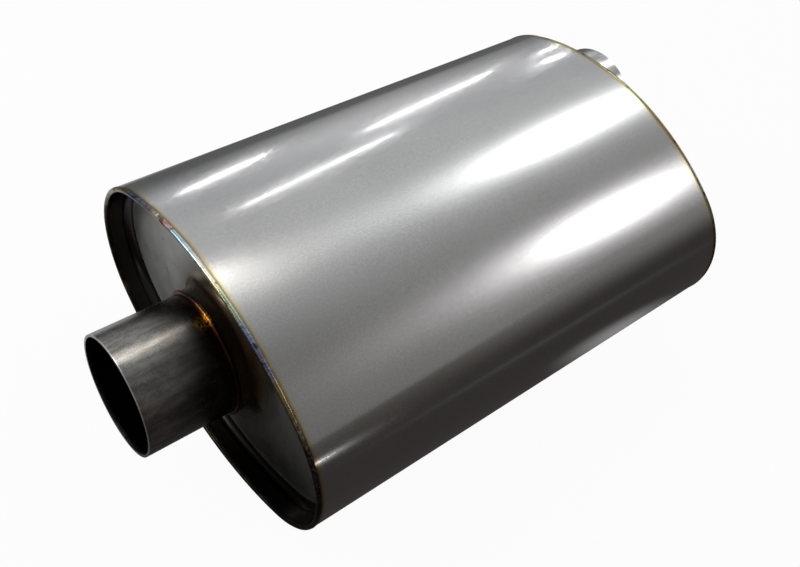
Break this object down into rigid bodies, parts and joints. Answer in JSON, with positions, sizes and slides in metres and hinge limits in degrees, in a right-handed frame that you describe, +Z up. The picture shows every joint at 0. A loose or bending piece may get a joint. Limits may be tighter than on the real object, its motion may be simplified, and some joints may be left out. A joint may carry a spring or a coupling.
{
  "type": "muffler",
  "caption": "Oval stainless exhaust muffler with a centre inlet neck, an offset outlet neck, recessed pressed end caps and a perforated straight-through core in packing.",
  "frame": {"origin": "centre of the inlet neck's mouth, on its axis", "axes": "+X along the necks, the way the gas flows, from the inlet's mouth to the outlet; +Y towards the side that the outlet is offset to, along the oval's long axis; +Z up, along the oval's short axis, with the case lying on a wide face"},
  "size_m": [0.4676, 0.2542, 0.163],
  "materials": {
    "case_steel": "satin stainless sheet, fine grain along the length",
    "cap_steel": "mottled mill finish stainless sheet",
    "neck_steel": "mill finish stainless tube with faint expander bands",
    "weld_steel": "rippled weld bead with heat tint",
    "core_steel": "perforated stainless tube",
    "steel_wool": "wound stainless steel wool",
    "glass_packing": "loose needled glass fibre"
  },
  "bodies": {
    "root": {"case_wrap": "case_steel", "case_seam_weld": "weld_steel", "front_end_cap": "cap_steel", "rear_end_cap": "cap_steel", "front_rim_weld": "weld_steel", "rear_rim_weld": "weld_steel", "inlet_neck": "neck_steel", "outlet_neck": "neck_steel", "inlet_neck_weld": "weld_steel", "outlet_neck_weld": "weld_steel", "core_front_tube": "core_steel", "core_offset_bend": "core_steel", "core_rear_tube": "core_steel", "core_front_joint_weld": "weld_steel", "core_rear_joint_weld": "weld_steel", "inlet_core_weld": "weld_steel", "outlet_core_weld": "weld_steel", "wool_wrap": "steel_wool", "upper_packing": "glass_packing", "lower_packing": "glass_packing"}
  },
  "joints": []
}
